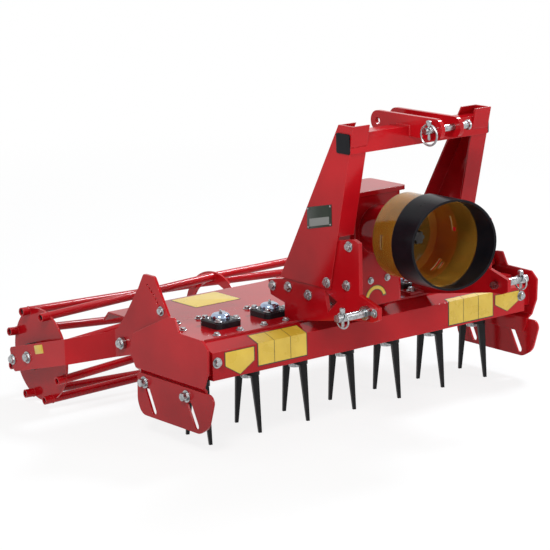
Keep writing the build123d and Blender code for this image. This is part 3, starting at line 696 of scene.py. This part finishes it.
armSticker = {"centre": (0.548, 0.186), "size": (0.046, 0.026), "corner": 0.003}
armY, armZ = armSticker["centre"]
slopeY, slopeZ = armSlope
armOutline = roundedBox(*armSticker["size"], armSticker["corner"])
sheetPlate("armSticker", armOutline, (-armOuter, rotorY + armY, armZ), (0, -slopeY, -slopeZ),
           (0, -slopeZ, slopeY), film["backing"], "yellowFilm", "roller_frame")

turnSticker = {
    "centre": (-0.012, 0.350), "radii": (0.026, 0.040), "sweep": (8, 172), "steps": 25, "trim": 0.0022,
}
sweep = np.radians(np.linspace(*turnSticker["sweep"], turnSticker["steps"]))
spokes = np.column_stack([np.cos(sweep), np.sin(sweep)])


def arcFilm(name, spokes, trim, lift, finish):
    # a band between two radii, trimmed at both and lifted off the case
    small, large = turnSticker["radii"]
    arcX, arcZ = turnSticker["centre"]
    outline = np.concatenate([spokes * (large - trim), spokes[::-1] * (small + trim)])
    sheetPlate(name, outline, (arcX, rotorY + caseFront - lift, arcZ), (1, 0, 0), (0, 0, 1), film["panel"],
               finish, "frame")


arcFilm("turnStickerBack", spokes, 0.0, 0.0, "blackFilm")
arcFilm("turnStickerPanel", spokes[1:-1], turnSticker["trim"], film["backing"], "yellowFilm")

idPlate = {
    # corners as (distance in front of the rotor line, height) on the left post's web
    "corners": ((0.166, 0.646), (0.272, 0.668), (0.272, 0.608), (0.166, 0.585)),
    "field": (0.10, 0.90, 0.10, 0.46),  # first and last share across and up of the blank pale field
    "thick": 0.0012, "fieldThick": 0.0004,
    "rivetsAcross": (0.05, 0.95), "rivetsUp": (0.08, 0.92),
    "rivetRadii": (0.0028, 0.0026, 0.0012), "rivetHeights": (0.0, 0.0010, 0.0016), "rivetSides": 12,
}
topRear, topFront, lowFront, lowRear = (np.array(c) for c in idPlate["corners"])
plateOrigin = np.array([-postOuter, rotorY, 0.0])
sheetPlate("idPlate", idPlate["corners"], plateOrigin, (0, -1, 0), (0, 0, 1), idPlate["thick"],
           "greenFilm", "frame")


def onPlate(across, up):  # point of the plate at a share across and up
    lowEdge = lowRear * (1 - across) + lowFront * across
    topEdge = topRear * (1 - across) + topFront * across
    return lowEdge * (1 - up) + topEdge * up


left, right, low, high = idPlate["field"]
field = [onPlate(left, low), onPlate(right, low), onPlate(right, high), onPlate(left, high)]
raised = plateOrigin - [idPlate["thick"], 0.0, 0.0]
sheetPlate("idPlateField", field, raised, (0, -1, 0), (0, 0, 1), idPlate["fieldThick"],
           "paleFilm", "frame")
rivets = np.array([onPlate(a, u) for a in idPlate["rivetsAcross"] for u in idPlate["rivetsUp"]])
rivetPlaces = np.column_stack([np.full(len(rivets), raised[0]), rotorY - rivets[:, 0], rivets[:, 1]])
turned("idPlateRivets", idPlate["rivetRadii"], idPlate["rivetHeights"], rivetPlaces, (-1, 0, 0),
       "zincPlate", "frame", sides=idPlate["rivetSides"])
print("blank stickers and plate placed")

# camera at the photograph's viewing angle, turns in degrees
cameraSet = {
    "place": (-4.134, -4.956 + rotorY, 1.842),
    "yaw": 38.20, "pitch": 12.70, "roll": -1.31,
    "lens": 149.6, "sensor": 36, "shift": (-0.0025, 0.0029), "reach": 100,
}
yaw, pitch, roll = (math.radians(cameraSet[k]) for k in ("yaw", "pitch", "roll"))
forward = Vector((math.sin(yaw) * math.cos(pitch), math.cos(yaw) * math.cos(pitch), -math.sin(pitch)))
level = Vector((math.cos(yaw), -math.sin(yaw), 0))
rightward = level * math.cos(roll) + level.cross(forward) * math.sin(roll)
upward = rightward.cross(forward)
camera = bpy.data.objects.new("camera", bpy.data.cameras.new("camera"))
bpy.context.scene.collection.objects.link(camera)
turn = Matrix((rightward, upward, -forward)).transposed().to_4x4()
camera.matrix_world = Matrix.Translation(cameraSet["place"]) @ turn
camera.data.lens = cameraSet["lens"]
camera.data.sensor_width = cameraSet["sensor"]
camera.data.shift_x, camera.data.shift_y = cameraSet["shift"]
camera.data.clip_end = cameraSet["reach"]
bpy.context.scene.camera = camera
print("camera set")

# pale floor, soft lamps, white surroundings
stageSet = {
    "floorHalf": 40.0, "floorTone": 0.90, "floorRough": 0.9, "worldLight": 0.42,
    "near": (1.2, 0.84), "far": (5.0, 1.0),  # distance from the machine, share of white glow there
}


def seenDirectly(tree):  # 1 for camera, glossy and transmission rays, else 0
    path = tree.nodes.new("ShaderNodeLightPath")
    either = addSum(tree, "ShaderNodeMath", "MAXIMUM")
    anyRay = addSum(tree, "ShaderNodeMath", "MAXIMUM")
    tree.links.new(path.outputs["Is Camera Ray"], either.inputs[0])
    tree.links.new(path.outputs["Is Glossy Ray"], either.inputs[1])
    tree.links.new(either.outputs[0], anyRay.inputs[0])
    tree.links.new(path.outputs["Is Transmission Ray"], anyRay.inputs[1])
    return anyRay.outputs[0]


half = stageSet["floorHalf"]
floorCorners = [(-half, -half, 0), (half, -half, 0), (half, half, 0), (-half, half, 0)]
floorMesh = bpy.data.meshes.new("floor")
floorMesh.from_pydata(floorCorners, [], [(0, 1, 2, 3)])
floor = bpy.data.objects.new("floor", floorMesh)
bpy.context.scene.collection.objects.link(floor)
floorFinish = bpy.data.materials.new("paleFloor")
floorFinish.use_nodes = True
tree = floorFinish.node_tree
link = tree.links.new
shader = tree.nodes["Principled BSDF"]
shader.inputs["Base Color"].default_value = (stageSet["floorTone"],) * 3 + (1,)
shader.inputs["Roughness"].default_value = stageSet["floorRough"]
white = addNode(tree, "ShaderNodeEmission", {"Strength": 1.0})
where = addNode(tree, "ShaderNodeTexCoord")
away = addSum(tree, "ShaderNodeVectorMath", "LENGTH")
glow = addNode(tree, "ShaderNodeMapRange", {
    "From Min": stageSet["near"][0], "From Max": stageSet["far"][0],
    "To Min": stageSet["near"][1], "To Max": stageSet["far"][1],
})
share = addSum(tree, "ShaderNodeMath", "MULTIPLY")
mix = addNode(tree, "ShaderNodeMixShader")
link(where.outputs["Object"], away.inputs[0])
link(away.outputs["Value"], glow.inputs["Value"])
link(seenDirectly(tree), share.inputs[0])
link(glow.outputs["Result"], share.inputs[1])
link(share.outputs[0], mix.inputs["Fac"])
link(shader.outputs["BSDF"], mix.inputs[1])
link(white.outputs["Emission"], mix.inputs[2])
link(mix.outputs["Shader"], tree.nodes["Material Output"].inputs["Surface"])
floorMesh.materials.append(floorFinish)

world = bpy.data.worlds.new("surroundings")
bpy.context.scene.world = world
world.use_nodes = True
tree = world.node_tree
tree.nodes["Background"].inputs["Color"].default_value = (1, 1, 1, 1)
strength = addNode(tree, "ShaderNodeMapRange", {"To Min": stageSet["worldLight"], "To Max": 1.0})
tree.links.new(seenDirectly(tree), strength.inputs["Value"])
tree.links.new(strength.outputs["Result"], tree.nodes["Background"].inputs["Strength"])

lamps = {
    # name: place, aim, size, watts, colour
    "keyLamp": ((-3.2, -2.2, 3.6), (0, 0, 0.3), 1.2, 115, (1.0, 0.98, 0.95)),
    "fillLamp": ((1.6, -4.2, 2.4), (0, 0, 0.3), 2.0, 60, (1.0, 1.0, 1.0)),
    "topLamp": ((2.9, 0.4, 3.8), (0, 0.1, 0.3), 1.0, 175, (0.86, 0.92, 1.0)),
}
for name, (place, aim, size, watts, colour) in lamps.items():
    lampData = bpy.data.lights.new(name, "AREA")
    lampData.size = size
    lampData.energy = watts
    lampData.color = colour
    lamp = bpy.data.objects.new(name, lampData)
    bpy.context.scene.collection.objects.link(lamp)
    lamp.location = place
    lamp.rotation_euler = (Vector(aim) - Vector(place)).to_track_quat("-Z", "Y").to_euler()
bpy.context.scene.view_settings.view_transform = "Standard"
print("floor, lamps and surroundings set")
